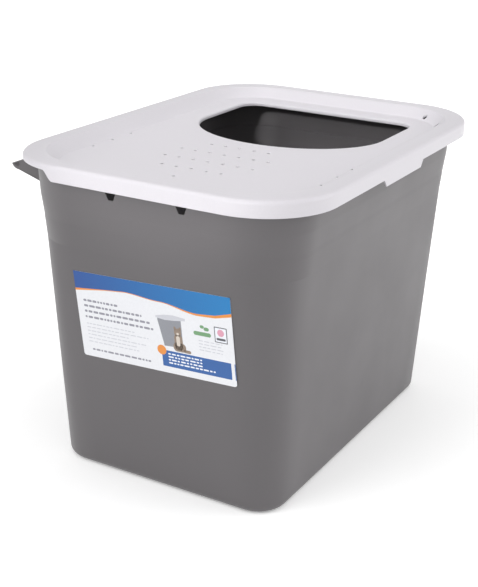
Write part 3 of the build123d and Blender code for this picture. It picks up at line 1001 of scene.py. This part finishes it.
def soft_light(name, toward, strength, spread):
    """A broad even light from a direction, as from a large distant softbox."""
    light = bpy.data.lights.new(name, "SUN")
    light.energy = strength
    light.angle = math.radians(spread)
    lamp = bpy.data.objects.new(name, light)
    lamp.rotation_euler = Vector(toward).to_track_quat("Z", "Y").to_euler()
    bpy.context.scene.collection.objects.link(lamp)
    return lamp


def spot_into_way_in(watts):
    """A narrow soft spot from above the label end that lifts the inside seen through the lid."""
    light = bpy.data.lights.new("into_way_in", "SPOT")
    light.energy = watts
    light.shadow_soft_size = 180 * MM
    light.spot_blend = 1.0
    middle = (COLLAR_LOW + COLLAR_HIGH) / 2
    away = Vector((0.1, -1.4, 0.52))
    pool = 0.3 * (COLLAR_HIGH.y - COLLAR_LOW.y)
    light.spot_size = 2 * math.atan(pool / away.length)
    lamp = bpy.data.objects.new("into_way_in", light)
    lamp.location = middle + away
    lamp.rotation_euler = away.to_track_quat("Z", "Y").to_euler()
    bpy.context.scene.collection.objects.link(lamp)


def studio_paper(glow):
    """Matt white studio paper lit from behind: even, with the faintest mottle of its pulp.

    The glow from behind thins the shadow under the pan to a soft contact shade.
    """
    material, tree = new_material("white_studio_paper")
    place = add_node(tree, "ShaderNodeTexCoord").outputs["Object"]
    pulp = add_node(
        tree, "ShaderNodeTexNoise", {"Vector": place, "Scale": 40.0, "Detail": 4.0}
    ).outputs["Fac"]
    tone = add_node(
        tree, "ShaderNodeMapRange", {"Value": pulp, "To Min": 0.95, "To Max": 0.97}
    ).outputs["Result"]
    shader = add_node(
        tree, "ShaderNodeBsdfPrincipled",
        {"Base Color": tone, "Roughness": 0.9, "Emission Color": (1, 1, 1, 1), "Emission Strength": glow},
    )
    add_node(tree, "ShaderNodeOutputMaterial", {"Surface": shader.outputs["BSDF"]})
    return material


class LITTERPAN_OT_stage(bpy.types.Operator):
    """Sets up the pale floor, the soft studio light and the camera"""

    bl_idname = "litterpan.stage"
    bl_label = "Stage"

    def execute(self, context):
        scene = context.scene
        stage = scene.litter_pan_stage
        reach = 6.0
        corners = [(-reach, -reach, 0), (reach, -reach, 0), (reach, reach, 0), (-reach, reach, 0)]
        floor = mesh_piece("floor", corners, [(0, 1, 2, 3)])
        floor.data.materials.append(studio_paper(stage.floor_glow))
        world = bpy.data.worlds.new("even_white_room")
        world.use_nodes = True
        world.node_tree.nodes.clear()
        sky = world.node_tree
        glow = add_node(
            sky, "ShaderNodeBackground", {"Color": (1, 1, 1, 1), "Strength": stage.room_light}
        )
        add_node(sky, "ShaderNodeOutputWorld", {"Surface": glow.outputs["Background"]})
        scene.world = world
        soft_light("label_end", (-0.5, -0.65, 0.75), stage.front_light, 45)
        soft_light("long_side", (0.75, 0.6, 0.4), stage.side_light, 50)
        soft_light("overhead", (0.1, -0.1, 1.0), stage.top_light, 60)
        spot_into_way_in(stage.inner_light)
        camera = bpy.data.objects.new("camera", bpy.data.cameras.new("camera"))
        camera.data.lens = stage.lens
        camera.data.sensor_width = 36.0
        turn = (
            Matrix.Rotation(stage.azimuth, 4, "Z")
            @ Matrix.Rotation(math.pi / 2 - stage.elevation, 4, "X")
            @ Matrix.Rotation(stage.roll, 4, "Z")
        )
        back = turn @ Vector((0, 0, 1))
        target = Vector((stage.target_x, stage.target_y, stage.target_z))
        camera.matrix_world = Matrix.Translation(target + back * stage.distance) @ turn
        scene.collection.objects.link(camera)
        scene.camera = camera
        scene.view_settings.view_transform = "Standard"
        return {"FINISHED"}


# ---- add-on ---------------------------------------------------------------------------

class LITTERPAN_PT_build(bpy.types.Panel):
    """Lists the pieces of the litter pan"""

    bl_idname = "LITTERPAN_PT_build"
    bl_label = "Litter Pan"
    bl_space_type = "VIEW_3D"
    bl_region_type = "UI"
    bl_category = "Litter Pan"

    def draw(self, context):
        for operator in OPERATORS:
            self.layout.operator(operator.bl_idname)


GROUPS = {
    "litter_pan_tub": TubSizes,
    "litter_pan_lid": LidSizes,
    "litter_pan_label": LabelSizes,
    "litter_pan_colours": PanColours,
    "litter_pan_stage": StageSettings,
}
OPERATORS = [
    LITTERPAN_OT_stage,
    LITTERPAN_OT_tub,
    LITTERPAN_OT_hinge,
    LITTERPAN_OT_lid,
    LITTERPAN_OT_label,
]


def register():
    for group in GROUPS.values():
        bpy.utils.register_class(group)
    for name, group in GROUPS.items():
        setattr(bpy.types.Scene, name, PointerProperty(type=group))
    for item in [*OPERATORS, LITTERPAN_PT_build]:
        bpy.utils.register_class(item)


def unregister():
    for item in reversed([*OPERATORS, LITTERPAN_PT_build]):
        bpy.utils.unregister_class(item)
    for name in GROUPS:
        delattr(bpy.types.Scene, name)
    for group in reversed(GROUPS.values()):
        bpy.utils.unregister_class(group)


def main():
    register()
    bpy.ops.litterpan.stage()
    bpy.ops.litterpan.tub()
    bpy.ops.litterpan.hinge()
    bpy.ops.litterpan.lid()
    bpy.ops.litterpan.label()


if __name__ == "__main__":
    main()
